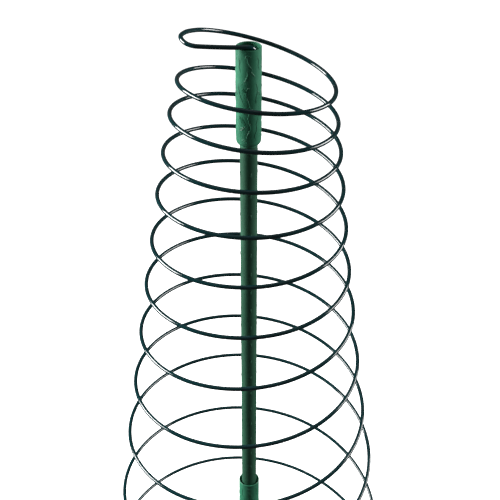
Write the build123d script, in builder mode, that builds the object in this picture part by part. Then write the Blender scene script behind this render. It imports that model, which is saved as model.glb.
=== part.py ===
from build123d import *
import os
from math import cos, exp, pi, radians, sin, sqrt, tan

# Garden obelisk: a widening spiral of coated wire around a two-section stake.
# Millimetres, +Z up. The origin is on the stake's axis where it enters the soil.

# Overall layout
TOP_RIM_Z = 910.0  # open rim of the top connector above the soil
SECTION_PITCH = 515.0  # rim of one connector to the rim of the next

# Stake: a steel tube in a plastic coat
STAKE_RADIUS = 8.0
TUBE_RADIUS = 7.55
TUBE_BORE_RADIUS = 6.85

# Grip nubs moulded on the coat, in four columns
NUB_PITCH = 21.7
NUB_LENGTH = 5.2
NUB_WIDTH = 1.9
NUB_HEIGHT = 0.5
NUB_ROOT = 0.25  # depth of a nub's root in the coat
NUB_COLUMNS = 4
NUB_FIRST_ANGLE = -75.0
NUB_TOP_DROP = 98.0  # rim of the connector above down to the first nub
NUBS_UPPER = 19
NUBS_LOWER = 14

# Bead that shows how deep to push the stake
BEAD_RADIUS = 9.2
BEAD_HEIGHT = 4.0

# Point under the lower section
POINT_LENGTH = 42.0
POINT_TIP_RADIUS = 1.2
PLUG_LENGTH = 22.0

# Connector sleeve on the head of each section
CONNECTOR_LENGTH = 91.3
CONNECTOR_RADIUS = 11.2
MOUTH_RADIUS = 10.2
MOUTH_CHAMFER = 0.3
SHOULDER_LENGTH = 5.0
NECK_RADIUS = 8.5
NECK_LENGTH = 0.8
SEPTUM_DROP = 48.0  # rim down to the wall between the two sockets
SEPTUM_THICKNESS = 2.4
SOCKET_CLEARANCE = 0.05
RIB_COUNT = 6
RIB_WIDTH = 1.4
RIB_DROP = 6.0  # rim down to the top of the guide ribs
RIB_CLEARANCE = 0.08

# Spiral wire
WIRE_RADIUS = 2.0
FIRST_DROP = 7.5  # rim of the top connector down to the start of the first turn
# Drop of each half turn, from the top down
HALF_TURN_DROPS = [
    19, 17.5, 15, 13.5, 17, 18.5, 19.5, 21, 22.5, 25, 24, 24, 24.5,
    31.5, 31, 32, 35.5, 33, 35, 54.5, 48.5, 51.5, 59, 63.5, 69, 71,
]
START_ANGLE = 169.3  # bearing of the start of each turn, just behind the left side
SPIRAL_START = 0.06  # turns; the hook takes over above this
RUNS_PER_TURN = 18
BEND_SHARE = 0.45  # share of the shorter run that a bend takes on each side
TURN_GAP = 0.8  # clear length between the solids of one turn and the next

# Top hook, from the first turn to its free end in the mouth: x, y and height over the rim
HOOK_POINTS = [
    (-53.6, 14.0, 6.5),
    (-56.6, 4.5, 6.9),
    (-54.6, -3.0, 6.0),
    (-50.6, -7.8, 5.0),
    (-45.5, -10.6, 4.4),
    (-38.0, -11.0, 3.9),
    (-14.0, -9.9, 2.7),
    (-6.0, -8.9, 2.3),
    (0.8, -7.2, 1.5),
    (4.8, -5.0, -1.5),
    (6.0, -3.6, -8.0),
    (6.2, -3.2, -28.0),
]

# Leg that pins the bottom turn to the soil
LEG_BEND_RADIUS = 20.0
LEG_DEPTH = 150.0

LOWER_RIM_Z = TOP_RIM_Z - SECTION_PITCH
SECTION_LENGTH = SECTION_PITCH - SEPTUM_THICKNESS
TURN_COUNT = len(HALF_TURN_DROPS) // 2
# Corners of the route stand outside the curve, so that its runs and bends follow it
CORNER_SPREAD = 1 / cos(pi / RUNS_PER_TURN)

os.makedirs("parts", exist_ok=True)


def half_turn_heights():
    """Height of the middle of the spiral at each half turn."""
    heights = [TOP_RIM_Z - FIRST_DROP]
    for drop in HALF_TURN_DROPS:
        heights.append(heights[-1] - drop)
    return heights


def middle_height(turns):
    """Height of the middle of the spiral, on a smooth curve through the half turns."""
    heights = half_turn_heights()
    last = len(heights) - 1
    first = min(int(turns * 2), last - 1)
    part = turns * 2 - first
    before = heights[max(first - 1, 0)]
    start = heights[first]
    end = heights[first + 1]
    after = heights[min(first + 2, last)]
    slope_start = (end - before) / 2 if first > 0 else end - start
    slope_end = (after - start) / 2 if first + 2 <= last else end - start
    cubic = 2 * (start - end) + slope_start + slope_end
    square = 3 * (end - start) - 2 * slope_start - slope_end
    return start + slope_start * part + square * part**2 + cubic * part**3


def spiral_point(turns, spread=1.0):
    """Centre of the wire after a number of turns, counted down from the top."""
    angle = radians(START_ANGLE) - 2 * pi * turns
    radius = 63.1 + 6.1 * turns - 0.242 * turns**2 + 0.0387 * turns**3
    across = radius * cos(angle) * spread
    back = radius * sin(angle) * spread
    # The light top turns lean most, to the right and to the front
    fade = exp(-turns / 4.1)
    lean = (0.03 - 0.276 * fade) * across + (0.057 - 0.15 * fade) * back
    middle_x = 10.0 - 2.45 * turns + 0.132 * turns**2
    middle_y = 2.3 - 0.4 * turns - 0.014 * turns**2
    return Vector(middle_x + across, middle_y + back, middle_height(turns) + lean)


def spiral_direction(turns):
    """Unit vector along the wire, downhill."""
    step = 0.002
    start = max(turns - step, 0)
    end = min(turns + step, TURN_COUNT)
    return (spiral_point(end) - spiral_point(start)).normalized()


def turn_gap_share(turns):
    """Half the clear length between two turns, as a share of one turn."""
    across = spiral_point(turns)
    return TURN_GAP / 2 / (2 * pi * sqrt(across.X**2 + across.Y**2))


def bend_arc(before, corner, after):
    """Start, middle and end of the arc that rounds one corner of the wire's route."""
    run_in = corner - before
    run_out = after - corner
    way_in = run_in.normalized()
    way_out = run_out.normalized()
    half_turn = radians(way_in.get_angle(way_out)) / 2
    trim = BEND_SHARE * min(run_in.length, run_out.length)
    bend_radius = trim / tan(half_turn)
    inward = (way_out - way_in).normalized()
    middle = corner + inward * (bend_radius / cos(half_turn) - bend_radius)
    return corner - way_in * trim, middle, corner + way_out * trim


def make_connector(rim_z):
    """Sleeve with a ribbed socket above the septum and a plain socket under it."""
    bottom_z = rim_z - CONNECTOR_LENGTH
    septum_top = rim_z - SEPTUM_DROP
    septum_bottom = septum_top - SEPTUM_THICKNESS
    socket_radius = STAKE_RADIUS + SOCKET_CLEARANCE
    with BuildPart() as connector:
        with BuildSketch(Plane.XZ):
            with BuildLine():
                Polyline(
                    (0, septum_bottom),
                    (0, septum_top),
                    (MOUTH_RADIUS, septum_top),
                    (MOUTH_RADIUS, rim_z - MOUTH_CHAMFER),
                    (MOUTH_RADIUS + MOUTH_CHAMFER, rim_z),
                    (CONNECTOR_RADIUS - MOUTH_CHAMFER, rim_z),
                    (CONNECTOR_RADIUS, rim_z - MOUTH_CHAMFER),
                    (CONNECTOR_RADIUS, bottom_z + SHOULDER_LENGTH),
                )
                TangentArc(
                    (CONNECTOR_RADIUS, bottom_z + SHOULDER_LENGTH),
                    (NECK_RADIUS, bottom_z + NECK_LENGTH),
                    tangent=(0, -1),
                )
                Polyline(
                    (NECK_RADIUS, bottom_z + NECK_LENGTH),
                    (NECK_RADIUS, bottom_z),
                    (socket_radius, bottom_z),
                    (socket_radius, septum_bottom),
                    (0, septum_bottom),
                )
            make_face()
        revolve(axis=Axis.Z)
        # Guide ribs that hold the next section upright in the wide mouth
        rib_inner = STAKE_RADIUS + RIB_CLEARANCE
        rib_outer = MOUTH_RADIUS + 0.3
        with BuildSketch(Plane.XY.offset(septum_top - 0.3)):
            with PolarLocations((rib_inner + rib_outer) / 2, RIB_COUNT):
                Rectangle(rib_outer - rib_inner, RIB_WIDTH)
            Circle(rib_inner, mode=Mode.SUBTRACT)
        extrude(amount=SEPTUM_DROP - RIB_DROP + 0.3)
    return connector


def make_tube(top_z):
    """Thin steel tube of one section."""
    with BuildPart() as tube:
        with BuildSketch(Plane.XY.offset(top_z - SECTION_LENGTH)):
            Circle(TUBE_RADIUS)
            Circle(TUBE_BORE_RADIUS, mode=Mode.SUBTRACT)
        extrude(amount=SECTION_LENGTH)
    return tube


def nub_column_plane(column, middle_z):
    """Plane on the crown of one column of nubs, with its x axis up the stake."""
    bearing = radians(NUB_FIRST_ANGLE + column * 360 / NUB_COLUMNS)
    outward = Vector(cos(bearing), sin(bearing), 0)
    crown = outward * (STAKE_RADIUS + NUB_HEIGHT) + Vector(0, 0, middle_z)
    return Plane(origin=crown, x_dir=(0, 0, 1), z_dir=outward)


def make_jacket(top_z, first_nub_z, nub_count, bead):
    """Plastic coat of one section, with its nubs."""
    with BuildPart() as jacket:
        with BuildSketch(Plane.XY.offset(top_z - SECTION_LENGTH)):
            Circle(STAKE_RADIUS)
        extrude(amount=SECTION_LENGTH)
        middle_z = first_nub_z - (nub_count - 1) * NUB_PITCH / 2
        for column in range(NUB_COLUMNS):
            with BuildSketch(nub_column_plane(column, middle_z)):
                with GridLocations(NUB_PITCH, 1, nub_count, 1):
                    SlotOverall(NUB_LENGTH, NUB_WIDTH)
            extrude(amount=-NUB_HEIGHT - NUB_ROOT)
        if bead:
            with BuildSketch(Plane.XY):
                Circle(BEAD_RADIUS)
            extrude(amount=BEAD_HEIGHT)
        with BuildSketch(Plane.XY.offset(top_z - SECTION_LENGTH)):
            Circle(TUBE_RADIUS)
        extrude(amount=SECTION_LENGTH, mode=Mode.SUBTRACT)
    return jacket


def make_point(shoulder_z):
    """Solid point with a plug that closes the lower tube."""
    with BuildPart() as point:
        with BuildSketch(Plane.XZ):
            with BuildLine():
                Polyline(
                    (0, shoulder_z + PLUG_LENGTH),
                    (TUBE_BORE_RADIUS - 0.8, shoulder_z + PLUG_LENGTH),
                    (TUBE_BORE_RADIUS, shoulder_z + PLUG_LENGTH - 2),
                    (TUBE_BORE_RADIUS, shoulder_z),
                    (STAKE_RADIUS - 0.1, shoulder_z),
                    (POINT_TIP_RADIUS, shoulder_z - POINT_LENGTH),
                    (0, shoulder_z - POINT_LENGTH - 0.8),
                    (0, shoulder_z + PLUG_LENGTH),
                )
            make_face()
        revolve(axis=Axis.Z)
    return point


def make_wire(route):
    """Round wire along straight runs joined by tangent arcs."""
    with BuildPart() as wire:
        with BuildLine():
            run_start = route[0]
            for before, corner, after in zip(route, route[1:], route[2:]):
                bend_start, bend_middle, bend_end = bend_arc(before, corner, after)
                Line(run_start, bend_start)
                ThreePointArc(bend_start, bend_middle, bend_end)
                run_start = bend_end
            Line(run_start, route[-1])
        with BuildSketch(Plane(origin=route[0], z_dir=route[1] - route[0])):
            Circle(WIRE_RADIUS)
        sweep()
    return wire


def make_turn(number):
    """One turn of the spiral wire, counted from 1 at the top."""
    start = number - 1 if number > 1 else SPIRAL_START
    end = number
    start += turn_gap_share(start)
    end -= turn_gap_share(end)
    run = (end - start) / RUNS_PER_TURN
    corners = [
        spiral_point(start + (step + 0.5) * run, CORNER_SPREAD) for step in range(RUNS_PER_TURN)
    ]
    return make_wire([spiral_point(start), *corners, spiral_point(end)])


def make_hook():
    """Top end of the wire: a tight bend, an arm over the rim and an end in the mouth."""
    start = spiral_point(SPIRAL_START - turn_gap_share(SPIRAL_START))
    return make_wire([start] + [Vector(x, y, TOP_RIM_Z + rise) for x, y, rise in HOOK_POINTS])


def make_leg():
    """Bottom end of the wire, turned straight down into the soil."""
    start = spiral_point(TURN_COUNT)
    downhill = spiral_direction(TURN_COUNT)
    level = Vector(downhill.X, downhill.Y, 0).normalized()
    dip = -downhill.Z
    across = level * (LEG_BEND_RADIUS * (1 - dip))
    bend_end = start + across - Vector(0, 0, LEG_BEND_RADIUS * sqrt(1 - dip**2))
    with BuildPart() as leg:
        with BuildLine():
            TangentArc([start, bend_end], tangent=downhill)
            Line(bend_end, Vector(bend_end.X, bend_end.Y, -LEG_DEPTH))
        with BuildSketch(Plane(origin=start, z_dir=downhill)):
            Circle(WIRE_RADIUS)
        sweep()
    return leg


# Upper section
upper_head_z = TOP_RIM_Z - SEPTUM_DROP - SEPTUM_THICKNESS

top_connector = make_connector(TOP_RIM_Z)
top_connector.part.label = "top_connector"
export_step(top_connector.part, "parts/top_connector.step")

upper_stake_tube = make_tube(upper_head_z)
upper_stake_tube.part.label = "upper_stake_tube"
export_step(upper_stake_tube.part, "parts/upper_stake_tube.step")

upper_stake_jacket = make_jacket(upper_head_z, TOP_RIM_Z - NUB_TOP_DROP, NUBS_UPPER, False)
upper_stake_jacket.part.label = "upper_stake_jacket"
export_step(upper_stake_jacket.part, "parts/upper_stake_jacket.step")

# Lower section
lower_head_z = LOWER_RIM_Z - SEPTUM_DROP - SEPTUM_THICKNESS

lower_connector = make_connector(LOWER_RIM_Z)
lower_connector.part.label = "lower_connector"
export_step(lower_connector.part, "parts/lower_connector.step")

lower_stake_tube = make_tube(lower_head_z)
lower_stake_tube.part.label = "lower_stake_tube"
export_step(lower_stake_tube.part, "parts/lower_stake_tube.step")

lower_stake_jacket = make_jacket(lower_head_z, LOWER_RIM_Z - NUB_TOP_DROP, NUBS_LOWER, True)
lower_stake_jacket.part.label = "lower_stake_jacket"
export_step(lower_stake_jacket.part, "parts/lower_stake_jacket.step")

ground_point = make_point(lower_head_z - SECTION_LENGTH)
ground_point.part.label = "ground_point"
export_step(ground_point.part, "parts/ground_point.step")

# Spiral, from its hook to its leg
spiral_hook = make_hook()
spiral_hook.part.label = "spiral_hook"
export_step(spiral_hook.part, "parts/spiral_hook.step")

for turn_number in range(1, TURN_COUNT + 1):
    turn_name = f"spiral_turn_{turn_number:02d}"
    spiral_turn = make_turn(turn_number)
    spiral_turn.part.label = turn_name
    export_step(spiral_turn.part, f"parts/{turn_name}.step")

spiral_leg = make_leg()
spiral_leg.part.label = "spiral_leg"
export_step(spiral_leg.part, "parts/spiral_leg.step")
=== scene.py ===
from math import acos, cos, exp, pi, radians, sin, tau

import bmesh
import bpy
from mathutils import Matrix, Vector


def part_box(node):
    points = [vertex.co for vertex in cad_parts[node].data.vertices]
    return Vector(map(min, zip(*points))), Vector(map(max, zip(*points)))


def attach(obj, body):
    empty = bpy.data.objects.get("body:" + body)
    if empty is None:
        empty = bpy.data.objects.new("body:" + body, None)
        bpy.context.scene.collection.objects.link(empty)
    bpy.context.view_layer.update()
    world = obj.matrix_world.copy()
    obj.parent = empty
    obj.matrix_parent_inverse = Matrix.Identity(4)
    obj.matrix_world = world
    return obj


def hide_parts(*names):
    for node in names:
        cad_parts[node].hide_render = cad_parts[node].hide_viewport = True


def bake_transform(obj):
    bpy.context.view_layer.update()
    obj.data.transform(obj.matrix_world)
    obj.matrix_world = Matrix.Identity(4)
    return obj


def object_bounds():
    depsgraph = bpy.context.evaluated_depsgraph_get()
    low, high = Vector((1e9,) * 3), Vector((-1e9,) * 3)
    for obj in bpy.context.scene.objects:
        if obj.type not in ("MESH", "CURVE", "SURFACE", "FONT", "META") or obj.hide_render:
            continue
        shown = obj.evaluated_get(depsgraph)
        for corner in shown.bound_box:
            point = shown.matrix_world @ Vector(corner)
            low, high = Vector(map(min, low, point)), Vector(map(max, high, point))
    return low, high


# Garden obelisk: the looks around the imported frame. Metres, +Z up, soil line at z = 0.

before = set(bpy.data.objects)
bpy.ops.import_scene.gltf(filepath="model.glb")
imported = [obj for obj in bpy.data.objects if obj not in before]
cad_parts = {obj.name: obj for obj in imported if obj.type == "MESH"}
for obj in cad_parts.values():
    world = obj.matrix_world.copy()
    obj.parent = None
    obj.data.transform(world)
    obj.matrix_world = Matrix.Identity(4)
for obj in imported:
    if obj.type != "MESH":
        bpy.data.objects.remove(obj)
cad_low, cad_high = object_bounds()

MM = 0.001

# Spiral wire, with the driving dimensions of the CAD
TOP_RIM_Z = 0.910
WIRE_RADIUS = 0.002
FIRST_DROP = 0.0075
# Drop of each half turn in millimetres, from the top down
HALF_TURN_DROPS = [
    19, 17.5, 15, 13.5, 17, 18.5, 19.5, 21, 22.5, 25, 24, 24, 24.5,
    31.5, 31, 32, 35.5, 33, 35, 54.5, 48.5, 51.5, 59, 63.5, 69, 71,
]
TURN_COUNT = len(HALF_TURN_DROPS) // 2
START_ANGLE = radians(169.3)
# Where the hook hands over to the spiral, in turns
SPIRAL_START = 0.06
# Radius and middle of the turns in millimetres, as polynomials over the turn, constant term first
RADIUS_CURVE = (63.1, 6.1, -0.242, 0.0387)
MIDDLE_X_CURVE = (10.0, -2.45, 0.132)
MIDDLE_Y_CURVE = (2.3, -0.4, -0.014)
# Rise of a turn to the right and to the back: far down the wire, and what the top turn adds
LEAN_RIGHT = (0.03, -0.276)
LEAN_BACK = (0.057, -0.15)
LEAN_FADE_TURNS = 4.1
# The hook from the first turn to the wire's free end: x, y and height over the top rim
HOOK_POINTS = [
    (-0.0536, 0.0140, 0.0065),
    (-0.0566, 0.0045, 0.0069),
    (-0.0546, -0.0030, 0.0060),
    (-0.0506, -0.0078, 0.0050),
    (-0.0455, -0.0106, 0.0044),
    (-0.0380, -0.0110, 0.0039),
    (-0.0140, -0.0099, 0.0027),
    (-0.0060, -0.0089, 0.0023),
    (0.0008, -0.0072, 0.0015),
    (0.0048, -0.0050, -0.0015),
    (0.0060, -0.0036, -0.0080),
    (0.0062, -0.0032, -0.0280),
]
LEG_BEND_RADIUS = 0.020
LEG_DEPTH = 0.150

# How finely the wire is drawn
POINTS_PER_TURN = 120
HOOK_SPACING = 0.0012
HOOK_LEAD_IN_TURNS = (0.06, 0.03, 0.0)
SAME_PLACE = 1e-6
LEG_BEND_STEPS = 24
LEG_STEPS = 30
SLOPE_STEP_TURNS = 0.002
WIRE_SIDES = 20
# Rings that round off the wire's end, from the tip: distance past the end and size, in wire radii
WIRE_END_RINGS = [(0.26, 0.6), (0.1, 0.88), (0.0, 1.0)]

# The turn where the wire's two parts meet
JOIN_TURN = 5

# Stake and connectors
SECTION_PITCH = 0.515
LOWER_RIM_Z = TOP_RIM_Z - SECTION_PITCH
CONNECTOR_RADIUS = 0.0112
STAKE_RADIUS = 0.008
COAT_INNER_RADIUS = 0.00755
COAT_ROUNDING = 0.0003
COAT_SIDES = 96
# Bead that marks the depth in the soil
BEAD_RADIUS = 0.0092
BEAD_HEIGHT = 0.004
BEAD_ROUNDING = 0.0004

# Grip nubs on the stake's coat
UPPER_NUBS = 19
LOWER_NUBS = 14
NUB_COLUMNS = 4
NUB_FIRST_ANGLE = radians(-75)
NUB_TOP_DROP = 0.098
NUB_PITCH = 0.0217
NUB_LENGTH = 0.0052
NUB_WIDTH = 0.0019
NUB_HEIGHT = 0.0005
NUB_ROOT = 0.0004
# Powers below 1 keep a nub wide and high towards its ends
NUB_WIDTH_POWER = 0.6
NUB_HEIGHT_POWER = 0.7
NUB_STEPS_ACROSS = 8
NUB_STEPS_ALONG = 12

# Camera, fitted to the photo
CAMERA_PLACE = (-0.00111, -0.76832, 1.22142)
CAMERA_DIRECTION = (0.002914, 0.83012, -0.55758)
CAMERA_LENS = 70.17
SENSOR_WIDTH = 36.0
CAMERA_SHIFT_X = -0.001

# Materials
NOISE_LOW = 0.3
NOISE_HIGH = 0.7
ROUGHNESS_SPREAD = 0.15
GRAIN_FINENESS = 6
GRAIN_STRENGTH = 0.5

# Light and floor
SURROUND_LIGHT = 0.10
LIGHT_AIM = (0, 0, 0.5)
FLOOR_GLOW = 0.85
FLOOR_HALF_SIZE = 12
FLOOR_GAP = 0.0005


# ---------------------------------------------------------------- materials


def new_material(name):
    """New node material and its Principled shader."""
    material = bpy.data.materials.new(name)
    material.use_nodes = True
    shader = material.node_tree.nodes["Principled BSDF"]
    return material, shader


def noise_texture(tree, scale, detail, stretch=(1, 1, 1)):
    """Noise in the object's own coordinates, stretched along an axis where asked."""
    place = tree.nodes.new("ShaderNodeTexCoord")
    mapping = tree.nodes.new("ShaderNodeMapping")
    mapping.inputs["Scale"].default_value = stretch
    texture = tree.nodes.new("ShaderNodeTexNoise")
    texture.inputs["Scale"].default_value = scale
    texture.inputs["Detail"].default_value = detail
    tree.links.new(place.outputs["Object"], mapping.inputs["Vector"])
    tree.links.new(mapping.outputs["Vector"], texture.inputs["Vector"])
    return texture


def ramp(tree, source, low, high):
    """Colour ramp between two colours or grey levels, over the middle of a noise's range."""
    node = tree.nodes.new("ShaderNodeValToRGB")
    first, last = node.color_ramp.elements
    first.position = NOISE_LOW
    last.position = NOISE_HIGH
    first.color = low
    last.color = high
    tree.links.new(source, node.inputs["Fac"])
    return node


def grey(level):
    """Grey level as a ramp colour."""
    return (level, level, level, 1)


def coated_material(name, dark, light, roughness, shine, texture_scale, stretch, bump_distance):
    """Plastic with a faint flow pattern in its colour and gloss, and a fine grain."""
    material, shader = new_material(name)
    tree = material.node_tree
    flow = noise_texture(tree, texture_scale, detail=4, stretch=stretch)
    colour = ramp(tree, flow.outputs["Fac"], (*dark, 1), (*light, 1))
    tree.links.new(colour.outputs["Color"], shader.inputs["Base Color"])
    smoothest = grey(roughness * (1 - ROUGHNESS_SPREAD))
    roughest = grey(roughness * (1 + ROUGHNESS_SPREAD))
    gloss = ramp(tree, flow.outputs["Fac"], smoothest, roughest)
    tree.links.new(gloss.outputs["Color"], shader.inputs["Roughness"])
    grain = noise_texture(tree, texture_scale * GRAIN_FINENESS, detail=3)
    bump = tree.nodes.new("ShaderNodeBump")
    bump.inputs["Strength"].default_value = GRAIN_STRENGTH
    bump.inputs["Distance"].default_value = bump_distance
    tree.links.new(grain.outputs["Fac"], bump.inputs["Height"])
    tree.links.new(bump.outputs["Normal"], shader.inputs["Normal"])
    shader.inputs["Specular IOR Level"].default_value = shine
    return material


def connector_plastic():
    """Bright satin green moulding."""
    return coated_material(
        "connector_plastic",
        dark=(0.019, 0.140, 0.074),
        light=(0.028, 0.178, 0.098),
        roughness=0.48,
        shine=0.35,
        texture_scale=160,
        stretch=(1, 1, 0.4),
        bump_distance=0.00003,
    )


def stake_coat():
    """Darker satin green coat with drawn streaks along the stake."""
    return coated_material(
        "stake_coat",
        dark=(0.016, 0.070, 0.039),
        light=(0.025, 0.095, 0.055),
        roughness=0.50,
        shine=0.3,
        texture_scale=220,
        stretch=(1, 1, 0.06),
        bump_distance=0.00004,
    )


def wire_coat():
    """Gloss blue-black coat of the wire."""
    return coated_material(
        "wire_coat",
        dark=(0.0005, 0.0150, 0.0170),
        light=(0.0009, 0.0230, 0.0260),
        roughness=0.11,
        shine=0.4,
        texture_scale=90,
        stretch=(1, 1, 1),
        bump_distance=0.000003,
    )


def steel():
    """Drawn steel tube."""
    material, shader = new_material("stake_steel")
    tree = material.node_tree
    streak = noise_texture(tree, scale=300, detail=4, stretch=(1, 1, 0.03))
    colour = ramp(tree, streak.outputs["Fac"], (0.42, 0.43, 0.44, 1), (0.60, 0.61, 0.62, 1))
    tree.links.new(colour.outputs["Color"], shader.inputs["Base Color"])
    gloss = ramp(tree, streak.outputs["Fac"], grey(0.28), grey(0.45))
    tree.links.new(gloss.outputs["Color"], shader.inputs["Roughness"])
    shader.inputs["Metallic"].default_value = 1.0
    return material


# --------------------------------------------------------- paths and meshes


def smooth_path(points, spacing):
    """Points along a smooth curve through the given ones (centripetal Catmull-Rom)."""
    ends = [points[0] * 2 - points[1], *points, points[-1] * 2 - points[-2]]
    path = []
    for p0, p1, p2, p3 in zip(ends, ends[1:], ends[2:], ends[3:]):
        knots = [0.0]
        for a, b in ((p0, p1), (p1, p2), (p2, p3)):
            knots.append(knots[-1] + max((b - a).length, 1e-9) ** 0.5)
        t0, t1, t2, t3 = knots
        count = max(int((p2 - p1).length / spacing), 2)
        for step in range(count):
            t = t1 + (t2 - t1) * step / count
            a1 = p0 * ((t1 - t) / (t1 - t0)) + p1 * ((t - t0) / (t1 - t0))
            a2 = p1 * ((t2 - t) / (t2 - t1)) + p2 * ((t - t1) / (t2 - t1))
            a3 = p2 * ((t3 - t) / (t3 - t2)) + p3 * ((t - t2) / (t3 - t2))
            b1 = a1 * ((t2 - t) / (t2 - t0)) + a2 * ((t - t0) / (t2 - t0))
            b2 = a2 * ((t3 - t) / (t3 - t1)) + a3 * ((t - t1) / (t3 - t1))
            path.append(b1 * ((t2 - t) / (t2 - t1)) + b2 * ((t - t1) / (t2 - t1)))
    path.append(points[-1].copy())
    return path


def direction(path, i):
    """Direction of a path at one of its points."""
    return (path[min(i + 1, len(path) - 1)] - path[max(i - 1, 0)]).normalized()


def skin(mesh, rings):
    """Faces between each ring of vertices and the next."""
    for low, high in zip(rings, rings[1:]):
        for k in range(len(low)):
            after = (k + 1) % len(low)
            mesh.faces.new((low[k], low[after], high[after], high[k]))


def mesh_object(name, mesh, smooth_angle=50):
    """Object in the scene from a bmesh, shaded smooth except over sharp edges."""
    mesh.normal_update()
    data = bpy.data.meshes.new(name)
    for face in mesh.faces:
        face.smooth = True
    for edge in mesh.edges:
        if len(edge.link_faces) == 2 and edge.calc_face_angle() > radians(smooth_angle):
            edge.smooth = False
    mesh.to_mesh(data)
    mesh.free()
    thing = bpy.data.objects.new(name, data)
    bpy.context.scene.collection.objects.link(thing)
    return thing


# ------------------------------------------------------------- spiral wire


def half_turn_heights():
    """Height of the middle of the spiral at each half turn."""
    heights = [TOP_RIM_Z - FIRST_DROP]
    for drop in HALF_TURN_DROPS:
        heights.append(heights[-1] - drop * MM)
    return heights


HEIGHTS = half_turn_heights()


def middle_height(turns):
    """Height of the middle of the spiral, on a smooth curve through the half turns."""
    last = len(HEIGHTS) - 1
    first = min(int(turns * 2), last - 1)
    part = turns * 2 - first
    before = HEIGHTS[max(first - 1, 0)]
    start = HEIGHTS[first]
    end = HEIGHTS[first + 1]
    after = HEIGHTS[min(first + 2, last)]
    slope_start = (end - before) / 2 if first > 0 else end - start
    slope_end = (after - start) / 2 if first + 2 <= last else end - start
    cubic = 2 * (start - end) + slope_start + slope_end
    square = 3 * (end - start) - 2 * slope_start - slope_end
    return start + slope_start * part + square * part**2 + cubic * part**3


def curve(terms, turns):
    """Value in metres of a polynomial in millimetres over the turn."""
    return sum(term * turns**power for power, term in enumerate(terms)) * MM


def spiral_point(turns):
    """Centre of the wire after a number of turns, counted down from the top."""
    angle = START_ANGLE - tau * turns
    radius = curve(RADIUS_CURVE, turns)
    across = radius * cos(angle)
    back = radius * sin(angle)
    fade = exp(-turns / LEAN_FADE_TURNS)
    lean_right = LEAN_RIGHT[0] + LEAN_RIGHT[1] * fade
    lean_back = LEAN_BACK[0] + LEAN_BACK[1] * fade
    middle_x = curve(MIDDLE_X_CURVE, turns)
    middle_y = curve(MIDDLE_Y_CURVE, turns)
    height = middle_height(turns) + lean_right * across + lean_back * back
    return Vector((middle_x + across, middle_y + back, height))


def hook_path():
    """The wire's free end in the mouth, its arm and its tight bend, down to the first turn."""
    lead_in = [spiral_point(SPIRAL_START + ahead) for ahead in HOOK_LEAD_IN_TURNS]
    bend = [Vector((x, y, TOP_RIM_Z + rise)) for x, y, rise in HOOK_POINTS]
    path = smooth_path(lead_in + bend, HOOK_SPACING)
    start = next(i for i, p in enumerate(path) if (p - lead_in[-1]).length < SAME_PLACE)
    return path[start:][::-1]


def turn_path(start, end):
    """Points along the spiral between two places, both included."""
    count = max(int((end - start) * POINTS_PER_TURN), 2)
    return [spiral_point(start + (end - start) * step / count) for step in range(count + 1)]


def leg_path():
    """The bend at the end of the last turn and the straight leg under it."""
    end = spiral_point(TURN_COUNT)
    along = (end - spiral_point(TURN_COUNT - SLOPE_STEP_TURNS)).normalized()
    level = Vector((along.x, along.y, 0)).normalized()
    up = Vector((0, 0, 1))
    dip = -along.z
    centre = end - (level * dip + up * (1 - dip**2) ** 0.5) * LEG_BEND_RADIUS
    first = acos(dip)
    path = []
    for step in range(1, LEG_BEND_STEPS + 1):
        angle = first * (1 - step / LEG_BEND_STEPS)
        path.append(centre + (level * cos(angle) + up * sin(angle)) * LEG_BEND_RADIUS)
    knee = path[-1]
    for step in range(1, LEG_STEPS + 1):
        path.append(knee - up * ((knee.z + LEG_DEPTH) * step / LEG_STEPS))
    return path


def wire_mesh(name, path, close_start=True, close_end=True, first_side=None):
    """Round wire along a path, with rounded closed ends, carried along without twist."""
    mesh = bmesh.new()
    side = first_side or direction(path, 0).orthogonal().normalized()
    rings = []
    for i, centre in enumerate(path):
        along = direction(path, i)
        side = (side - along * side.dot(along)).normalized()
        other = along.cross(side)
        shapes = [(0.0, 1.0)]
        if i == 0 and close_start:
            shapes = [(-push, share) for push, share in WIRE_END_RINGS]
        if i == len(path) - 1 and close_end:
            shapes = WIRE_END_RINGS[::-1]
        for push, share in shapes:
            ring = []
            for k in range(WIRE_SIDES):
                angle = tau * k / WIRE_SIDES
                offset = (side * cos(angle) + other * sin(angle)) * share + along * push
                ring.append(mesh.verts.new(centre + offset * WIRE_RADIUS))
            rings.append(ring)
    skin(mesh, rings)
    if close_start:
        mesh.faces.new(rings[0][::-1])
    if close_end:
        mesh.faces.new(rings[-1])
    return mesh_object(name, mesh), side


def build_wire(material):
    """The whole spiral in two parts that meet end to end."""
    upper_path = hook_path()[:-1] + turn_path(SPIRAL_START, JOIN_TURN)
    lower_path = turn_path(JOIN_TURN, TURN_COUNT) + leg_path()
    # Each part has a ring where they meet, and the side carries over so that the two rings match
    upper, side = wire_mesh("spiral_wire_upper", upper_path, close_end=False)
    lower, _ = wire_mesh("spiral_wire_lower", lower_path, close_start=False, first_side=side)
    for wire in (upper, lower):
        wire.data.materials.append(material)
    turn_names = [f"spiral_turn_{number:02d}" for number in range(1, TURN_COUNT + 1)]
    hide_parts("spiral_hook", *turn_names[:JOIN_TURN])
    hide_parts("spiral_leg", *turn_names[JOIN_TURN:])
    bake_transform(upper)
    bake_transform(lower)


# --------------------------------------------------------- connector relief


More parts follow.
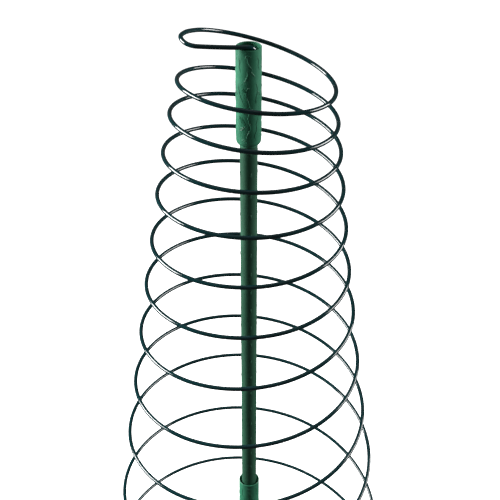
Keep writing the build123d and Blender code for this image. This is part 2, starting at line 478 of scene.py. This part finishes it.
# Raised stems on a connector in millimetres: along the curve of the wall, and up from the rim
RELIEF_STROKES = [
    # Curled shoot at the top, running down to the right
    [
        (2.2, -6.4), (0.8, -4.8), (-0.8, -5.4), (-1.0, -8.3), (-0.3, -11.5), (1.4, -14.4),
        (3.5, -17.3),
    ],
    [(-3.0, -7.5), (-2.4, -5.4), (-0.8, -4.6)],
    # Twig below it
    [(2.2, -17.9), (3.0, -19.8), (4.4, -21.6), (5.9, -23.7)],
    # Tendril to the left
    [(-1.7, -17.9), (-1.0, -20.6), (-1.5, -23.7), (-2.8, -26.6), (-4.6, -29.3)],
    # Long winding main stem
    [
        (2.4, -30.4), (0.6, -32.0), (-1.4, -34.5), (-2.3, -37.9), (-1.7, -42.6), (0.3, -47.3),
        (1.2, -52.5), (0.4, -57.4), (-0.6, -61.4), (-0.1, -65.5), (1.5, -69.5), (0.8, -73.4),
        (-1.2, -77.8), (-2.2, -82.2), (-1.6, -85.5),
    ],
    # Side shoots
    [(-9.6, -31.2), (-9.4, -35.4), (-8.0, -41.3), (-4.8, -48.0)],
    [(6.4, -27.9), (7.8, -32.2), (8.1, -37.4), (6.8, -43.7), (7.0, -49.9)],
    [(8.8, -62.4), (7.2, -67.4), (7.6, -72.8), (5.8, -78.2), (6.2, -83.2)],
    [(7.6, -5.4), (9.4, -9.4), (9.0, -14.1), (10.4, -18.7)],
    [(-9.6, -6.2), (-8.2, -10.4), (-8.8, -15.6), (-7.2, -19.8)],
]
# Leaves in the same measures: base, tip and greatest width
RELIEF_LEAVES = [
    ((-9.2, -60.1), (-2.8, -68.8), 2.6),
    ((-9.2, -74.5), (-3.4, -69.5), 2.2),
    ((1.4, -52.0), (5.6, -58.2), 2.2),
    ((-2.1, -82.2), (-7.0, -83.2), 1.8),
    ((8.1, -37.4), (11.8, -42.0), 2.0),
    ((-2.3, -37.9), (-5.8, -34.3), 1.8),
]
RELIEF_REPEATS = 3
RELIEF_SPACING = 0.0004
RIDGE_WIDTH = 0.0007
RIDGE_HEIGHT = 0.0003
RIDGE_ROOT = 0.0003
LEAF_RIDGE_WIDTH = 0.75 * RIDGE_WIDTH
LEAF_RIDGE_HEIGHT = 0.8 * RIDGE_HEIGHT
# Section of a ridge in half widths and heights, below zero in measures of its root
RIDGE_PROFILE = [
    (-1.0, -1.0), (-1.0, 0.0), (-0.6, 0.72), (0.0, 1.0), (0.6, 0.72), (1.0, 0.0), (1.0, -1.0),
]
# Size of a ridge's ends against its middle, and how fast it grows along its length
RIDGE_END_SIZE = 0.25
RIDGE_GROWTH = 4.0
# Outline of a leaf's edge: shares of its length and of its half width
LEAF_EDGE = [(0.0, 0.0), (0.2, 0.72), (0.45, 1.0), (0.75, 0.6), (1.0, 0.0)]
LEAF_MIDRIB = [0.0, 0.4, 0.8]


def wall_point(across, height, out, turn):
    """Point on a connector's wall: place along the curve, height and distance out."""
    angle = -pi / 2 + turn + across / CONNECTOR_RADIUS
    radius = CONNECTOR_RADIUS + out
    return Vector((radius * cos(angle), radius * sin(angle), height))


def add_ridge(mesh, stroke, rim_z, turn, width, height):
    """Rounded ridge along a stroke, thinning out to both ends."""
    points = [Vector((across * MM, up * MM, 0)) for across, up in stroke]
    path = smooth_path(points, RELIEF_SPACING)
    rings = []
    for i, place in enumerate(path):
        along = direction(path, i)
        sideways = Vector((-along.y, along.x, 0))
        share = i / (len(path) - 1)
        thin = min(1.0, RIDGE_END_SIZE + RIDGE_GROWTH * min(share, 1 - share))
        ring = []
        for side, rise in RIDGE_PROFILE:
            spot = place + sideways * (side * width / 2 * thin)
            out = rise * height * thin if rise > 0 else rise * RIDGE_ROOT
            ring.append(mesh.verts.new(wall_point(spot.x, rim_z + spot.y, out, turn)))
        rings.append(ring)
    skin(mesh, rings)
    mesh.faces.new(rings[0][::-1])
    mesh.faces.new(rings[-1])


def leaf_strokes(base, tip, width):
    """The two edges and the midrib of a pointed leaf."""
    start, end = Vector(base), Vector(tip)
    run = end - start
    sideways = Vector((-run.y, run.x)).normalized() * (width / 2)
    edges = [
        [start + run * share + sideways * (side * bulge) for share, bulge in LEAF_EDGE]
        for side in (-1, 1)
    ]
    midrib = [start + run * share for share in LEAF_MIDRIB]
    return [*edges, midrib]


def build_relief(name, rim_z, body, material):
    """Stems and leaves raised on one connector's wall."""
    mesh = bmesh.new()
    for repeat in range(RELIEF_REPEATS):
        turn = tau * repeat / RELIEF_REPEATS
        for stroke in RELIEF_STROKES:
            add_ridge(mesh, stroke, rim_z, turn, RIDGE_WIDTH, RIDGE_HEIGHT)
        for base, tip, width in RELIEF_LEAVES:
            for stroke in leaf_strokes(base, tip, width):
                add_ridge(mesh, stroke, rim_z, turn, LEAF_RIDGE_WIDTH, LEAF_RIDGE_HEIGHT)
    bmesh.ops.recalc_face_normals(mesh, faces=mesh.faces)
    relief = mesh_object(name, mesh, smooth_angle=75)
    relief.data.materials.append(material)
    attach(relief, body)


# ------------------------------------------------------------- stake jackets


def lathe(mesh, outline, sides):
    """Turn a closed outline of radius and height pairs around the Z axis."""
    rings = []
    for radius, height in outline:
        ring = []
        for k in range(sides):
            angle = tau * k / sides
            ring.append(mesh.verts.new((radius * cos(angle), radius * sin(angle), height)))
        rings.append(ring)
    skin(mesh, rings + rings[:1])


def add_nub(mesh, angle, height):
    """Rounded long nub, sunk a little into the coat."""
    rings = []
    for i in range(1, NUB_STEPS_ALONG):
        slope = pi * i / NUB_STEPS_ALONG
        level = height - cos(slope) * NUB_LENGTH / 2
        half_width = NUB_WIDTH / 2 * sin(slope) ** NUB_WIDTH_POWER
        crown = (NUB_HEIGHT + NUB_ROOT) * sin(slope) ** NUB_HEIGHT_POWER
        ring = []
        for k in range(NUB_STEPS_ACROSS + 1):
            roll = pi * k / NUB_STEPS_ACROSS
            out = STAKE_RADIUS - NUB_ROOT + crown * sin(roll)
            turn = angle - cos(roll) * half_width / STAKE_RADIUS
            ring.append(mesh.verts.new((out * cos(turn), out * sin(turn), level)))
        rings.append(ring)
    skin(mesh, rings)
    mesh.faces.new(rings[0][::-1])
    mesh.faces.new(rings[-1])


def build_jacket(node_name, rim_z, body, nub_count, material, bead=False):
    """Coat of one stake section with its columns of rounded nubs."""
    low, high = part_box(node_name)
    bottom, top = low[2], high[2]
    mesh = bmesh.new()
    outline = [
        (COAT_INNER_RADIUS, bottom),
        (STAKE_RADIUS - COAT_ROUNDING, bottom),
        (STAKE_RADIUS, bottom + COAT_ROUNDING),
    ]
    if bead:
        outline += [
            (STAKE_RADIUS, 0.0),
            (BEAD_RADIUS - BEAD_ROUNDING, 0.0),
            (BEAD_RADIUS, BEAD_ROUNDING),
            (BEAD_RADIUS, BEAD_HEIGHT - BEAD_ROUNDING),
            (BEAD_RADIUS - BEAD_ROUNDING, BEAD_HEIGHT),
            (STAKE_RADIUS, BEAD_HEIGHT),
        ]
    outline += [
        (STAKE_RADIUS, top - COAT_ROUNDING),
        (STAKE_RADIUS - COAT_ROUNDING, top),
        (COAT_INNER_RADIUS, top),
    ]
    lathe(mesh, outline, COAT_SIDES)
    for column in range(NUB_COLUMNS):
        angle = NUB_FIRST_ANGLE + tau * column / NUB_COLUMNS
        for place in range(nub_count):
            add_nub(mesh, angle, rim_z - NUB_TOP_DROP - place * NUB_PITCH)
    bmesh.ops.recalc_face_normals(mesh, faces=mesh.faces)
    jacket = mesh_object(f"{node_name}_nubbed", mesh, smooth_angle=40)
    jacket.data.materials.append(material)
    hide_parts(node_name)
    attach(jacket, body)


# ------------------------------------------------------------------ staging


def build_floor():
    """Wide pale floor under the lowest point."""
    mesh = bmesh.new()
    bmesh.ops.create_grid(mesh, x_segments=1, y_segments=1, size=FLOOR_HALF_SIZE)
    floor = mesh_object("floor", mesh)
    floor.location = (0, 0, cad_low[2] - FLOOR_GAP)
    material, shader = new_material("pale_floor")
    shader.inputs["Base Color"].default_value = (0.93, 0.93, 0.93, 1)
    shader.inputs["Roughness"].default_value = 0.9
    shader.inputs["Emission Color"].default_value = (1, 1, 1, 1)
    shader.inputs["Emission Strength"].default_value = FLOOR_GLOW
    floor.data.materials.append(material)
    # The floor looks white, but neither shows in the object's gloss nor lights it from below
    floor.visible_glossy = False
    floor.visible_diffuse = False


def area_light(name, place, aim, size, watts):
    """Soft rectangular light aimed at a point."""
    data = bpy.data.lights.new(name, "AREA")
    data.shape = "RECTANGLE"
    data.size, data.size_y = size
    data.energy = watts
    light = bpy.data.objects.new(name, data)
    light.location = place
    light.rotation_euler = (Vector(aim) - Vector(place)).to_track_quat("-Z", "Y").to_euler()
    bpy.context.scene.collection.objects.link(light)


def build_light():
    """Soft studio light: a faint panel overhead, a wide panel on each side and a pale surround."""
    world = bpy.data.worlds.new("studio")
    world.use_nodes = True
    tree = world.node_tree
    background = tree.nodes["Background"]
    background.inputs["Color"].default_value = (1, 1, 1, 1)
    # The surround looks white, and lights the object only a little
    path = tree.nodes.new("ShaderNodeLightPath")
    strength = tree.nodes.new("ShaderNodeMapRange")
    strength.inputs["To Min"].default_value = SURROUND_LIGHT
    strength.inputs["To Max"].default_value = 1.0
    tree.links.new(path.outputs["Is Camera Ray"], strength.inputs["Value"])
    tree.links.new(strength.outputs["Result"], background.inputs["Strength"])
    bpy.context.scene.world = world
    area_light("overhead_panel", (0, 0.4, 3.2), aim=(0, 0.2, 0), size=(3.0, 3.0), watts=10)
    area_light("left_panel", (-1.7, 0.3, 1.2), aim=LIGHT_AIM, size=(1.1, 0.7), watts=108)
    area_light("right_panel", (1.7, 0.3, 1.2), aim=LIGHT_AIM, size=(1.1, 0.6), watts=46)


def build_camera():
    """Camera above and in front, as a standing viewer looks down on the top."""
    data = bpy.data.cameras.new("camera")
    data.sensor_width = SENSOR_WIDTH
    data.lens = CAMERA_LENS
    data.shift_x = CAMERA_SHIFT_X
    camera = bpy.data.objects.new("camera", data)
    camera.location = CAMERA_PLACE
    camera.rotation_euler = Vector(CAMERA_DIRECTION).to_track_quat("-Z", "Y").to_euler()
    bpy.context.scene.collection.objects.link(camera)
    bpy.context.scene.camera = camera


# ----------------------------------------------------------------- assembly

build_wire(wire_coat())

plastic = connector_plastic()
coat = stake_coat()
tube = steel()
node_materials = {
    "top_connector": plastic,
    "lower_connector": plastic,
    "ground_point": coat,
    "upper_stake_tube": tube,
    "lower_stake_tube": tube,
}
for node_name, material in node_materials.items():
    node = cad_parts[node_name]
    node.data.materials.clear()
    node.data.materials.append(material)

build_relief("top_connector_relief", TOP_RIM_Z, "upper_section", plastic)
build_relief("lower_connector_relief", LOWER_RIM_Z, "ground_section", plastic)
build_jacket("upper_stake_jacket", TOP_RIM_Z, "upper_section", UPPER_NUBS, coat)
build_jacket("lower_stake_jacket", LOWER_RIM_Z, "ground_section", LOWER_NUBS, coat, bead=True)

build_floor()
build_light()
build_camera()
bpy.context.scene.view_settings.view_transform = "Standard"
